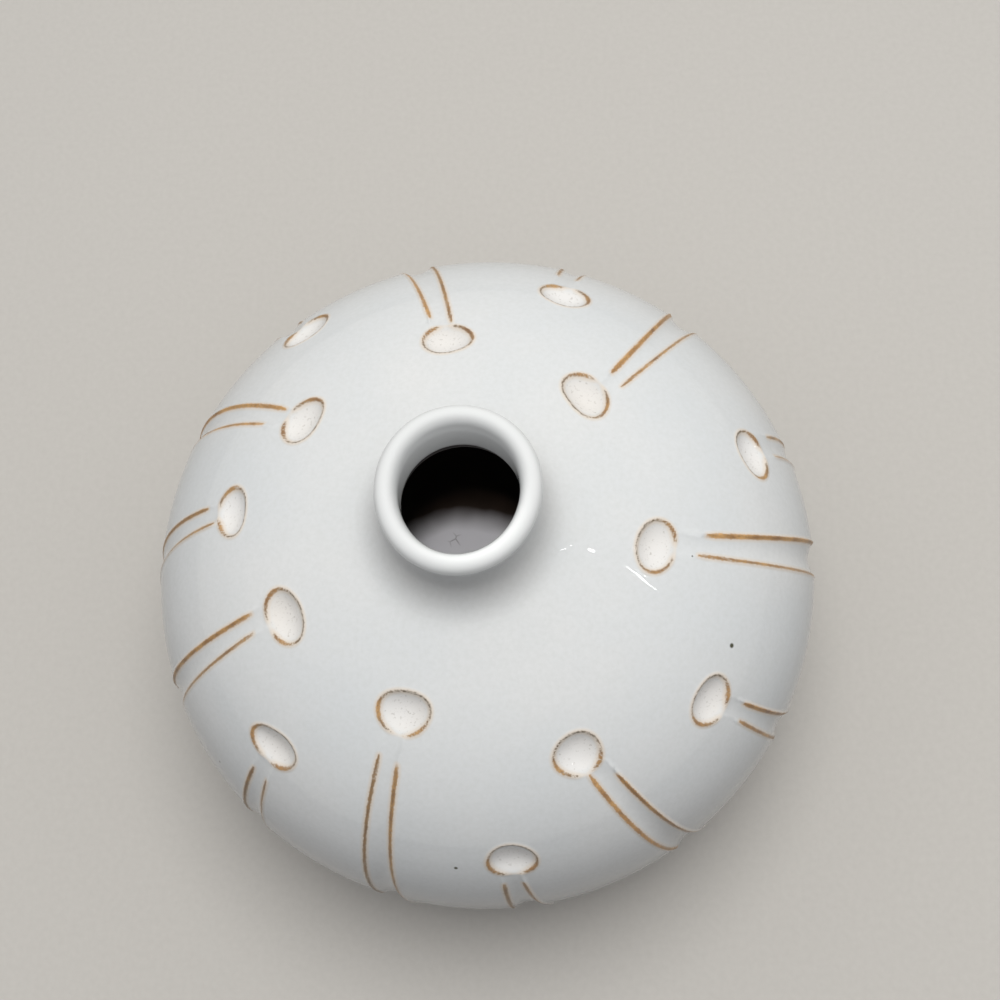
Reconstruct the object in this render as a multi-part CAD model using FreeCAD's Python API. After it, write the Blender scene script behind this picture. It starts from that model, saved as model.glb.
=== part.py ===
import FreeCAD, Part
import math
import os

from FreeCAD import Vector

# A stoneware pillow vase: a thrown bowl and a thrown dome luted together at the belly, a collar
# neck luted into the crown and a foot ring luted under the floor. Thumb-pressed dimples ring the
# dome, and a gouge drawn down over the belly leaves a flute below each one.
# Sizes are in mm. The origin is the middle of the face that the foot rests on.

# The body, measured outside. Its section is a rounded square of this fullness; 2 is an ellipse.
# The floor's underside stands this high over the resting face, inside the foot ring.
belly_radius = 70.0
belly_height = 40.0
dome_rise = 50.0
floor_rise = 5.2
fullness = 2.5
section_steps = 6
wall = 5.0
floor_thickness = 6.0

# The lap at the belly: a tongue on the bowl's rim stands inside the dome's rebate.
lap_height = 3.0
lap_width = 2.4
slip_gap = 0.2

# The collar: a rolled bead on a short straight throat that sweeps out to a flange. A spigot stands
# below the flange, set in from its edge by the ledge that the flange rests on.
throat_length = 5.2
bead_radius = 2.1
bead_blend = 1.5
bore_radius = 11.0
neck_wall = 2.3
flange_radius = 21.0
flange_edge = 1.6
flange_ledge = 3.8
spigot_wall = 1.7
spigot_depth = 2.4

# The foot ring, straight outside and flared where the slip is smoothed onto the bowl. Inside it
# leans in by the batter, as the turning tool leaves it.
foot_radius = 33.0
foot_width = 4.5
foot_batter = 1.0
foot_rounding = 0.8
foot_flare_radius = 4.0
foot_flare_reach = 2.0
foot_let_in = 0.4

# The dimples, as wide, high and deep as a thumb leaves them, and the round gouge's flutes.
dimple_width = 10.1
dimple_height = 7.6
dimple_depth = 1.9
gouge_radius = 5.4
start_depth = 0.4
shoulder_depth = 0.75
belly_depth = 1.2
flute_end_drop = 20.0

# One line for each dimple: its bearing, its distance out as a share of the belly's radius, how
# far below it the flute starts as a share of its height, and how far the flute has turned from
# it at the start and at the belly. Angles are in degrees.
mark_shares = [
    (96.6, 0.544, 0.75, 1.3, 9.0),
    (69.3, 0.767, 1.05, 2.0, 3.5),
    (46.8, 0.480, 0.95, -2.5, 5.0),
    (16.0, 0.826, 1.05, 2.5, 2.0),
    (350.4, 0.514, 1.20, 3.0, 11.3),
    (323.5, 0.803, 1.10, 2.5, 8.5),
    (294.7, 0.690, 0.75, 3.0, 11.3),
    (276.6, 0.893, 0.95, -0.5, 0.5),
    (252.5, 0.547, 1.24, -0.8, 1.7),
    (227.6, 0.797, 1.05, 0.0, 0.5),
    (207.5, 0.557, 0.90, -3.0, -4.5),
    (175.1, 0.673, 0.75, 0.5, 7.5),
    (146.9, 0.561, 0.92, 2.0, 14.2),
    (127.7, 0.829, 1.00, 1.0, 3.0),
]
shoulder_share = 0.5
walk_steps = 8

UP = Vector(0, 0, 1)
AXIS_POINT = Vector(0, 0, 0)
bowl_drop = belly_height - floor_rise
inner_radius = belly_radius - wall
lap_radius = inner_radius + lap_width
spigot_radius = flange_radius - flange_ledge
foot_joint_radius = foot_radius + foot_flare_reach
foot_joint_inside = foot_radius - foot_width - foot_batter


def at(out, up):
    """A point of the turned section, out from the axis and up from the resting face."""
    return Vector(out, 0, up)


def rise_at(out, radius, rise):
    """How far a rounded square stands above the belly, this far out from the axis."""
    return rise * (1 - (out / radius) ** fullness) ** (1 / fullness)


def normal_at(out, radius, rise):
    """The direction square to the upper rounded square, this far out, in its own plane."""
    side = (out / radius) ** (fullness - 1) / radius
    top = (rise_at(out, radius, rise) / rise) ** (fullness - 1) / rise
    return Vector(side, 0, top).normalize()


def section_curve(radius, rise, stop_radius, way):
    """The rounded square from the belly to stop_radius; way is 1 for the dome, -1 for the bowl."""
    last = math.atan2(rise_at(stop_radius, radius, rise), stop_radius)
    points = []
    for step in range(section_steps):
        angle = last * step / section_steps
        squeeze = (math.cos(angle) / radius) ** fullness + (math.sin(angle) / rise) ** fullness
        reach = squeeze ** (-1 / fullness)
        points.append(at(reach * math.cos(angle), belly_height + way * reach * math.sin(angle)))
    points.append(at(stop_radius, belly_height + way * rise_at(stop_radius, radius, rise)))
    normal = normal_at(stop_radius, radius, rise)
    curve = Part.BSplineCurve()
    curve.interpolate(
        Points=points,
        InitialTangent=Vector(0, 0, way),
        FinalTangent=Vector(-normal.z, 0, way * normal.x),
    )
    return curve.toShape()


def arc(centre, radius, first, last):
    """An arc in the section's plane, its angles in degrees up from straight out."""
    points = []
    for angle in (first, (first + last) / 2, last):
        turn = math.radians(angle)
        points.append(centre + at(radius * math.cos(turn), radius * math.sin(turn)))
    return Part.Arc(*points).toShape()


def turned(curves, paths):
    """The solid that a closed section sweeps about the axis, from its curves and straight runs."""
    edges = list(curves)
    for path in paths:
        for start, end in zip(path, path[1:]):
            edges.append(Part.makeLine(start, end))
    wire = Part.Wire(Part.sortEdges(edges)[0])
    return Part.Face(wire).revolve(AXIS_POINT, UP, 360)


def ring(outer, inner, low, high):
    """A plain turned ring, for cuts."""
    return turned([], [[at(inner, low), at(outer, low), at(outer, high), at(inner, high), at(inner, low)]])


def around(shape, bearing):
    """A copy of a shape, swung about the axis to a bearing."""
    copy = shape.copy()
    copy.rotate(AXIS_POINT, UP, bearing)
    return copy


def tool_point(out, bearing, depth):
    """Where the gouge's centre runs to cut this deep into the dome, this far out."""
    lift = gouge_radius - depth
    place = at(out, belly_height + rise_at(out, belly_radius, dome_rise))
    place += normal_at(out, belly_radius, dome_rise) * lift
    return FreeCAD.Rotation(UP, bearing).multVec(place)


def run_out_point(bearing):
    """Where the gouge's centre leaves the bowl, its edge just touching the clay."""
    out = belly_radius * (1 - (flute_end_drop / bowl_drop) ** fullness) ** (1 / fullness)
    normal = normal_at(out, belly_radius, bowl_drop)
    place = at(out, belly_height - flute_end_drop) + Vector(normal.x, 0, -normal.z) * gouge_radius
    return FreeCAD.Rotation(UP, bearing).multVec(place)


def walk_down(out, distance):
    """The radius reached by going this far down the dome's outside."""
    for _ in range(walk_steps):
        out += distance / walk_steps * normal_at(out, belly_radius, dome_rise).z
    return out


def gouge_sweep(first, middle, last):
    """The round gouge carried along the arc through three points."""
    path = Part.Arc(first, middle, last).toShape()
    span = path.LastParameter - path.FirstParameter
    rim = Part.makeCircle(gouge_radius, first, path.tangentAt(path.FirstParameter))
    return Part.Face(Part.Wire(rim)).revolve(path.Curve.Center, path.Curve.Axis, math.degrees(span))


def flute_cutters(bearing, out_share, gap_share, start_turn, belly_turn):
    """The gouge's path for one flute: an arc down the dome, and a tangent one that leaves the
    bowl. Both arcs share a plane, as a straight pull of the hand does."""
    start_out = walk_down(out_share * belly_radius, gap_share * dimple_height)
    start = tool_point(start_out, bearing + start_turn, start_depth)
    shoulder_out = start_out + shoulder_share * (belly_radius - start_out)
    shoulder_turn = start_turn + shoulder_share * (belly_turn - start_turn)
    shoulder = tool_point(shoulder_out, bearing + shoulder_turn, shoulder_depth)
    belly = tool_point(belly_radius, bearing + belly_turn, belly_depth)
    upper = Part.Arc(start, shoulder, belly).toShape().Curve
    inward = (upper.Center - belly).normalize()
    square = upper.Axis
    end = run_out_point(bearing + belly_turn)
    chord = end - belly
    chord -= square * chord.dot(square)
    radius = chord.dot(chord) / (2 * chord.dot(inward))
    centre = belly + inward * radius
    half_way = (belly + chord / 2 - centre).normalize()
    return [
        gouge_sweep(start, shoulder, belly),
        gouge_sweep(belly, centre + half_way * radius, belly + chord),
    ]


def dimple_cutter(bearing, out_share):
    """A thumb's oval print: an arc across its width, turned about a line through the arc's ends."""
    half_width = dimple_width / 2
    half_height = dimple_height / 2
    across = (half_width ** 2 + dimple_depth ** 2) / (2 * dimple_depth)
    down = (half_height ** 2 + dimple_depth ** 2) / (2 * dimple_depth)
    tip = math.sqrt(across ** 2 - (across - down) ** 2)
    print_arc = Part.Arc(Vector(0, tip, 0), Vector(0, 0, -down), Vector(0, -tip, 0)).toShape()
    edges = [print_arc, Part.makeLine(Vector(0, -tip, 0), Vector(0, tip, 0))]
    print_solid = Part.Face(Part.Wire(edges)).revolve(AXIS_POINT, Vector(0, 1, 0), 360)
    out = out_share * belly_radius
    normal = normal_at(out, belly_radius, dome_rise)
    print_solid.rotate(AXIS_POINT, Vector(0, 1, 0), math.degrees(math.atan2(normal.x, normal.z)))
    place = at(out, belly_height + rise_at(out, belly_radius, dome_rise))
    print_solid.translate(place + normal * (down - dimple_depth))
    return around(print_solid, bearing)


def upper_dome(flutes, dimples):
    """The dome, open at the crown, with a rebate for the bowl's tongue and a seat for the collar."""
    recess = flange_radius + slip_gap
    throat = spigot_radius + slip_gap
    edge_level = belly_height + rise_at(recess, belly_radius, dome_rise)
    seat_level = collar_seat_level()
    inside_rise = dome_rise - wall
    inside_level = belly_height + rise_at(throat, inner_radius, inside_rise)
    shell = turned(
        [
            section_curve(belly_radius, dome_rise, recess, 1),
            section_curve(inner_radius, inside_rise, throat, 1),
        ],
        [
            [at(recess, edge_level), at(recess, seat_level), at(throat, seat_level), at(throat, inside_level)],
            [at(inner_radius, belly_height), at(belly_radius, belly_height)],
        ],
    )
    rebate = ring(lap_radius + slip_gap, inner_radius - wall, belly_height, belly_height + lap_height + slip_gap)
    return shell.cut([rebate] + flutes + dimples)


def lower_bowl(flutes):
    """The bowl, with the tongue on its rim and a turned seat for the foot ring."""
    lap_level = belly_height + lap_height
    bowl = turned(
        [
            section_curve(belly_radius, bowl_drop, 0, -1),
            section_curve(inner_radius, bowl_drop - floor_thickness, 0, -1),
        ],
        [
            [at(0, belly_height - bowl_drop), at(0, belly_height - bowl_drop + floor_thickness)],
            [
                at(inner_radius, belly_height),
                at(inner_radius, lap_level),
                at(lap_radius, lap_level),
                at(lap_radius, belly_height),
                at(belly_radius, belly_height),
            ],
        ],
    )
    seat = ring(foot_joint_radius + slip_gap, foot_joint_inside - slip_gap, 0, foot_seat_level())
    return bowl.cut([seat] + flutes)


def collar_seat_level():
    """The flat that the collar's flange stands on, cut in below the dome's outside."""
    return belly_height + rise_at(flange_radius, belly_radius, dome_rise) - flange_edge


def neck_collar():
    """The collar: spigot and flange below, a sweep up to the short neck, and the rolled bead."""
    normal = normal_at(flange_radius, belly_radius, dome_rise)
    waist = bore_radius + neck_wall
    sweep = (flange_radius - waist) / (1 - normal.x)
    edge_level = collar_seat_level() + flange_edge
    sweep_centre = at(waist + sweep, edge_level + sweep * normal.z)
    inner_sweep = sweep + neck_wall
    spigot_bore = spigot_radius - spigot_wall
    inner_drop = math.sqrt(inner_sweep ** 2 - (sweep_centre.x - spigot_bore) ** 2)
    spigot_level = collar_seat_level() - spigot_depth
    bead_centre = at(bore_radius + bead_radius, sweep_centre.z + throat_length)
    blend_out = waist + bead_blend - bead_centre.x
    blend_drop = math.sqrt((bead_radius + bead_blend) ** 2 - blend_out ** 2)
    blend_centre = bead_centre + at(blend_out, -blend_drop)
    blend_angle = math.degrees(math.atan2(blend_drop, blend_out))
    sweep_end = 270 - math.degrees(math.asin(normal.x))
    inner_end = 180 + math.degrees(math.asin(inner_drop / inner_sweep))
    return turned(
        [
            arc(bead_centre, bead_radius, -blend_angle, 180),
            arc(blend_centre, bead_blend, 180 - blend_angle, 180),
            arc(sweep_centre, sweep, 180, sweep_end),
            arc(sweep_centre, inner_sweep, 180, inner_end),
        ],
        [
            [at(waist, blend_centre.z), at(waist, sweep_centre.z)],
            [
                at(flange_radius, edge_level),
                at(flange_radius, collar_seat_level()),
                at(spigot_radius, collar_seat_level()),
                at(spigot_radius, spigot_level),
                at(spigot_bore, spigot_level),
                at(spigot_bore, sweep_centre.z - inner_drop),
            ],
            [at(bore_radius, sweep_centre.z), at(bore_radius, bead_centre.z)],
        ],
    )


def foot_seat_level():
    """The flat turned into the bowl's underside for the foot ring."""
    return belly_height - rise_at(foot_joint_radius, belly_radius, bowl_drop) + foot_let_in


def foot_ring():
    """The foot: a narrow rounded resting edge, flared outside up to the bowl."""
    joint_level = foot_seat_level() - foot_let_in
    inside_level = belly_height - rise_at(foot_joint_inside, belly_radius, bowl_drop)
    base_inside = foot_radius - foot_width
    flare_angle = math.degrees(math.acos(1 - (foot_joint_radius - foot_radius) / foot_flare_radius))
    flare_level = joint_level - foot_flare_radius * math.sin(math.radians(flare_angle))
    return turned(
        [
            arc(at(foot_radius - foot_rounding, foot_rounding), foot_rounding, 270, 360),
            arc(at(foot_radius + foot_flare_radius, flare_level), foot_flare_radius, 180, 180 - flare_angle),
            arc(at(base_inside + foot_rounding, foot_rounding), foot_rounding, 180, 270),
        ],
        [
            [at(foot_radius, foot_rounding), at(foot_radius, flare_level)],
            [
                at(foot_joint_radius, joint_level),
                at(foot_joint_radius, foot_seat_level()),
                at(foot_joint_inside, foot_seat_level()),
                at(foot_joint_inside, inside_level),
                at(base_inside, foot_rounding),
            ],
            [at(base_inside + foot_rounding, 0), at(foot_radius - foot_rounding, 0)],
        ],
    )


flute_tools = []
dimple_tools = []
for mark in mark_shares:
    flute_tools += flute_cutters(*mark)
    dimple_tools.append(dimple_cutter(mark[0], mark[1]))

pieces = {
    "lower_bowl": lower_bowl(flute_tools),
    "upper_dome": upper_dome(flute_tools, dimple_tools),
    "neck_collar": neck_collar(),
    "foot_ring": foot_ring(),
}
os.makedirs("parts", exist_ok=True)
for name, shape in pieces.items():
    shape.exportStep("parts/" + name + ".step")
    print(name, "solids", len(shape.Solids), "valid", shape.isValid(), "volume", round(shape.Volume))
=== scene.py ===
import math

import bmesh
import bpy
import numpy as np
from mathutils import Matrix, Vector


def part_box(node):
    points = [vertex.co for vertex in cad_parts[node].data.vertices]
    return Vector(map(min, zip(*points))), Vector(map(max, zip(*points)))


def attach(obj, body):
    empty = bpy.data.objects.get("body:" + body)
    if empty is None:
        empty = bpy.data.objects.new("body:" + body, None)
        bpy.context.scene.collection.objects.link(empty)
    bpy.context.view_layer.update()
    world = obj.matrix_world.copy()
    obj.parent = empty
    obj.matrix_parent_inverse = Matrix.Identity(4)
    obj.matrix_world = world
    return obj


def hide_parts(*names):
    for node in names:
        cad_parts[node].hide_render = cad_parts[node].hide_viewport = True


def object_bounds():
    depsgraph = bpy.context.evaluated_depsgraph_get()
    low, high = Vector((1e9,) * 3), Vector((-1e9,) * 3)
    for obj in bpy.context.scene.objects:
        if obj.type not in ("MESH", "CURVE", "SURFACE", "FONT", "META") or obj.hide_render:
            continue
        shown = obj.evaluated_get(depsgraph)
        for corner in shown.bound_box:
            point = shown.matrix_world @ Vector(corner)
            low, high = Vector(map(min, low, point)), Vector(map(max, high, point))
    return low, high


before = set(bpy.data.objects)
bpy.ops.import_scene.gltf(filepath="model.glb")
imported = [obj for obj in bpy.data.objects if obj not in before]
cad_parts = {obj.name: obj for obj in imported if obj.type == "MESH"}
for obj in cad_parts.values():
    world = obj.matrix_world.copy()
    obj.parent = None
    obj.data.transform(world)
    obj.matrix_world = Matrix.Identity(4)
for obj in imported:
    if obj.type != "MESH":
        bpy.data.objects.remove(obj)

cad_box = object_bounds()


# The upper dome: thrown stoneware, lowered over the bowl's tongue at the belly. Fourteen thumb
# prints are pressed into it, and below each one a round gouge is drawn down over the belly. A
# pale celadon-white glaze pools in the prints and breaks to iron brown along the cut edges.
MM = 0.001
dome_low, dome_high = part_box("upper_dome")
bowl_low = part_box("lower_bowl")[0]
collar_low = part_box("neck_collar")[0]

# Sizes are in mm. The turned form keeps this much inside the solids, so that the lips of clay and
# the swell of the wall stay in their box.
glaze_ease = 0.2
belly_radius = (cad_box[1].x - cad_box[0].x) / 2 / MM - glaze_ease
belly_height = dome_low.z / MM
dome_rise = 50.0 - glaze_ease
bowl_drop = (dome_low.z - bowl_low.z) / MM - glaze_ease
wall = 5.0 - glaze_ease
floor_extra = 1.0
flange_radius = 21.0
tongue_radius = 67.4
lap_gap = 0.2
lap_height = 3.0

# The section is a rounded square. A fullness of 2 would make it an ellipse, and more makes it
# squarer. Each skin has this many columns of faces round it, and on the outside its rings are
# about this far apart.
fullness = 2.5
columns = 288
ring_spacing = 1.6

# The section is listed by its arc length in mm from the belly, up being plus.
section_angles = np.linspace(-math.pi / 2, math.pi / 2, 8001)


def rounded_square(angles, radius, rise, drop):
    """Points (out, up) of the section, at these angles over the belly seen from its middle."""
    tall = np.where(angles > 0, rise, drop)
    squeeze = (np.abs(np.cos(angles)) / radius) ** fullness + (np.abs(np.sin(angles)) / tall) ** fullness
    reach = squeeze ** (-1 / fullness)
    return reach * np.cos(angles), belly_height + reach * np.sin(angles)


section_out, section_up = rounded_square(section_angles, belly_radius, dome_rise, bowl_drop)
steps = np.hypot(np.diff(section_out), np.diff(section_up))
section_length = np.concatenate([[0], np.cumsum(steps)])
section_length -= section_length[len(section_angles) // 2]
section_slope_out = np.gradient(section_out, section_length)
section_slope_up = np.gradient(section_up, section_length)


def on_section(length):
    """Place and outward direction on the section, as (out, up, direction out, direction up)."""
    out = np.interp(length, section_length, section_out)
    up = np.interp(length, section_length, section_up)
    slope_out = np.interp(length, section_length, section_slope_out)
    slope_up = np.interp(length, section_length, section_slope_up)
    size = np.hypot(slope_out, slope_up)
    return out, up, slope_up / size, -slope_out / size


def length_at(out, upper):
    """The arc length at which the dome, or the bowl, is this far out from the axis."""
    half = section_length >= 0 if upper else section_length <= 0
    order = np.argsort(section_out[half])
    return float(np.interp(out, section_out[half][order], section_length[half][order]))


# One row for each mark. The print: bearing in degrees, share of the belly's radius, width and
# height in mm, and its lean in degrees. Then the gouge's two edges, first the one to the left
# seen from the axis: where it starts in mm below the print's middle, its turn from the print's
# bearing there and at the belly, in degrees, and the weight of the iron line along it, where 1 is
# a line about 0.7 mm wide.
marks = [
    (96.6, 0.544, 10.1, 7.0, 4, (6.7, 4, 12, 0.8), (4.5, -1.5, 6, 0.6)),
    (69.3, 0.767, 10.2, 7.4, -6, (9.0, 4, 6, 0.3), (9.0, 0, 1, 0.3)),
    (46.8, 0.480, 10.3, 7.6, 8, (7.7, 0, 8, 1.2), (6.8, -5, 1.8, 0.6)),
    (16.0, 0.826, 9.9, 7.5, -8, (8.0, 4, 5, 0.2), (8.0, 0, 1, 0.3)),
    (350.4, 0.514, 9.9, 7.5, 10, (9.9, 5.6, 14.3, 1.2), (8.5, 0.2, 8.3, 0.6)),
    (323.5, 0.803, 9.8, 7.5, -6, (7.4, 3.9, 11.5, 1.0), (9.1, 1, 6.3, 0.7)),
    (294.7, 0.690, 9.1, 8.0, 6, (7.2, 5.4, 14.6, 0.9), (4.6, 0.4, 9.7, 0.9)),
    (276.6, 0.893, 9.4, 8.3, 4, (7.5, 1.2, 3.5, 0.8), (7.2, -2.1, -1.9, 0.7)),
    (252.5, 0.547, 9.7, 8.3, -20, (9.7, 1.5, 4.6, 1.1), (8.9, -3.1, -0.5, 0.6)),
    (227.6, 0.797, 10.4, 7.2, -8, (8.2, 1.8, 3.4, 0.7), (7.9, -1.6, -1.8, 0.7)),
    (207.5, 0.557, 10.6, 7.5, 6, (7.4, -0.9, -2.3, 0.7), (6.2, -5.4, -7, 0.9)),
    (175.1, 0.673, 10.0, 7.1, -4, (4.4, 2.2, 9.8, 0.7), (6.9, -1.4, 5.3, 0.7)),
    (146.9, 0.561, 10.5, 7.2, 5, (8.6, 5, 16.5, 0.8), (5.3, -0.8, 12, 0.9)),
    (127.7, 0.829, 10.9, 8.0, -5, (8.0, 4, 6, 0.6), (8.0, -1, 1, 0.6)),
]

# A print is a hollow this deep in mm, with a floor a little flatter than a round bowl's. Its oval
# is uneven: (lobes round it, share of its size, how they turn from one print to the next).
print_depth = 1.9
print_flatness = 2.3
print_lobes = [(2, 0.03, 1.0), (3, 0.025, 2.1)]

# A gouge is round-nosed, with this radius in mm. It starts on the lower side of the print. Below
# the belly it bites deeper by the swell, its path straightens over the hold, and it lifts out where
# the bowl has this share of the belly's radius.
gouge_radius = 5.4
gouge_start = 2.0
gouge_swell = 2.6
turn_hold = 8.0
flute_end_share = 0.895
flute_end_length = length_at(belly_radius * flute_end_share, False)

# In mm, the glaze rounds a cut's edges by the first of these, and the ridge between print and
# flute by the second as well. Where their floors cross, they meet over the third.
cut_rounding = 0.1
ridge_rounding = 0.7
floor_meeting = 0.3

# The ridge sets in between these distances in mm below the print's middle, and reaches this many
# mm to either side.
ridge_from = 2.5
ridge_full = 5.0
ridge_reach = 3

# The lip of clay pushed up beside a cut: its height, width and distance from the edge in mm.
lip_height = 0.16
lip_width = 0.34
lip_place = 0.3

# How much of a full lip stands round a print, what it loses downhill and over how many degrees,
# and how much stands along the heavier and the lighter side of a flute.
print_lip = 0.7
downhill_loss = 0.6
downhill_reach = 30
heavy_lip = 1.6
light_lip = 0.8

# Beside a flute, lip and iron line run out between these distances in mm from the flute's end.
run_out = 1
lip_run = 9
line_run = 12

# The iron line round a print: half its width in mm, what it gains at the two heels of the thumb,
# and what it loses where the flute leaves. A heel is its direction from downhill, then how far
# the gain and the orange tone reach, all in degrees.
rim_line = 0.1
heels = [(52, 26, 32), (-78, 30, 36)]
heel_gain = 0.2
mouth_loss = 0.45
mouth_reach = 18

# How orange the line round a print is, and what it gains at the heels.
print_orange = 0.05
heel_orange = 0.75

# The iron line along a flute: half its width in mm, what it gains for its weight, how orange it
# is, what a heavy one gains, and what those round one bearing in degrees lose.
flute_line = 0.14
weight_gain = 0.2
flute_orange = 0.72
heavy_weight = 0.75
heavy_orange = 0.28
dull_loss = 0.3
dull_bearing = 250
dull_reach = 40

# A mark reaches no further to either side than this angle in radians and this many mm. Where no
# iron line is near, the distance to one is given as the last value.
mark_angle = 0.6
mark_reach = 28
no_line = 9.0

# The glaze pools from this share of the way to a print's rim inwards, and this much in a flute.
pool_rim = 0.72
flute_pool = 0.06

# The wheel's rings: their height in mm. The wall's slow swell: (waves round it, their height in mm,
# where they start in radians), and a wave up and down it of this height in mm.
ring_height = 0.004
swell_waves = [(2, 0.07, 0.6), (3, 0.05, 2.0)]
swell_up = 0.05

# The slow swell is lowered by this much in mm, to stay in the solids' box, and fades towards the
# collar's flange over this way in mm.
swell_drop = 0.1
swell_fade = 9


def smoothly(value, low, high):
    """0 below low, 1 above high, and an eased run between them."""
    share = np.clip((value - low) / (high - low), 0, 1)
    return share * share * (3 - 2 * share)


def bump_at(value, middle, width):
    """A soft hump of height 1 round the middle; angles in degrees wrap."""
    away = (value - middle + 180) % 360 - 180
    return np.exp(-((away / width) ** 2))


def soft_larger(first, second, ease):
    """The larger of two depths, with the corner between them rounded over the ease."""
    return (first + second + np.sqrt((first - second) ** 2 + ease ** 2)) / 2


def edge_turn(length, print_length, edge):
    """The turn in radians of one gouged edge from its print, at each arc length."""
    start, first, last, _ = edge
    slope = (first - last) / (print_length - start)
    above = last + slope * np.maximum(length, 0)
    below = slope * turn_hold * (np.exp(np.minimum(length, 0) / turn_hold) - 1)
    return np.radians(above + below)


def print_oval(across, down, width, height, lean, index):
    """Where each place is on a print: (share of the way from its middle to its rim, distance in mm
    outside the rim)."""
    tilt = math.radians(lean)
    along = across * math.cos(tilt) + down * math.sin(tilt)
    over = down * math.cos(tilt) - across * math.sin(tilt)
    facing = np.arctan2(over, along)
    uneven = sum(amount * np.cos(lobes * facing + turn * index) for lobes, amount, turn in print_lobes)
    ratio = np.hypot(along / (width / 2), over / (height / 2)) * (1 + uneven)
    return ratio, np.hypot(along, over) * (1 - 1 / np.maximum(ratio, 0.05))


def lip_beside(distance):
    """How much of a full lip stands at this distance in mm outside a cut's edge."""
    return np.exp(-(((distance - lip_place) / lip_width) ** 2))


def line_round_print(from_rim, downhill):
    """The iron line round a print, a hair outside its rim: (distance in mm to the line, minus
    inside it; how orange it is)."""
    half_width = rim_line
    orange = 0
    for toward, gain_reach, tone_reach in heels:
        half_width = half_width + heel_gain * bump_at(downhill, toward, gain_reach)
        orange = np.maximum(orange, bump_at(downhill, toward, tone_reach))
    half_width = half_width - mouth_loss * bump_at(downhill, 0, mouth_reach)
    return np.abs(from_rim - 0.05) - half_width, print_orange + heel_orange * orange


def line_along_flute(place, down, length, edge, degrees):
    """The iron line along a flute's edge: (distance in mm to it, minus inside it; how orange it
    is). It swells where it starts, thins on its way down and runs out at the flute's end."""
    start, _, _, weight = edge
    before = np.maximum(start - down, 0)
    taper = 0.7 * smoothly(down, start - 0.5, start + 2) + 0.4 - 0.25 * smoothly(down, 8, 30)
    taper = taper * smoothly(length, flute_end_length + run_out, flute_end_length + line_run)
    orange = flute_orange + heavy_orange * (weight > heavy_weight)
    orange = orange - dull_loss * bump_at(degrees, dull_bearing, dull_reach)
    return np.hypot(place, before) - (flute_line + weight_gain * weight) * taper, orange


def wheel_traces(length, bearing, out):
    """The wheel's faint rings and the slow swell of a hand-thrown wall, in mm over the form."""
    rings = ring_height * np.sin(length * 1.1 + 0.7 * np.sin(bearing) + 1.5 * np.sin(length * 0.23))
    swell = sum(height * np.sin(waves * bearing + start) for waves, height, start in swell_waves)
    swell = swell + swell_up * np.sin(length * 0.11)
    return (rings + swell - swell_drop) * smoothly(out, flange_radius, flange_radius + swell_fade)


def gouged(length, out, across, down, print_length, left_edge, right_edge):
    """What the gouge does below one print: (depth of its cut in mm, distance in mm to the left of
    its middle line, half the flute's width in mm, how far the tool has bitten in by there)."""
    left = across - out * edge_turn(length, print_length, left_edge)
    right = across - out * edge_turn(length, print_length, right_edge)
    half_width = (right - left) / 2
    middle = (right + left) / 2
    gone = np.clip(length / flute_end_length, 0, 1)
    deep = (half_width ** 2 / (2 * gouge_radius) + gouge_swell * gone) * (1 - gone ** 2)
    begun = smoothly(down, gouge_start, min(left_edge[0], right_edge[0]) + 1.5)
    depth = deep * begun - middle ** 2 / (2 * gouge_radius) - np.maximum(0, gouge_start - down)
    return depth, middle, np.sqrt(2 * gouge_radius * np.maximum(deep, 0)), begun


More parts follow.
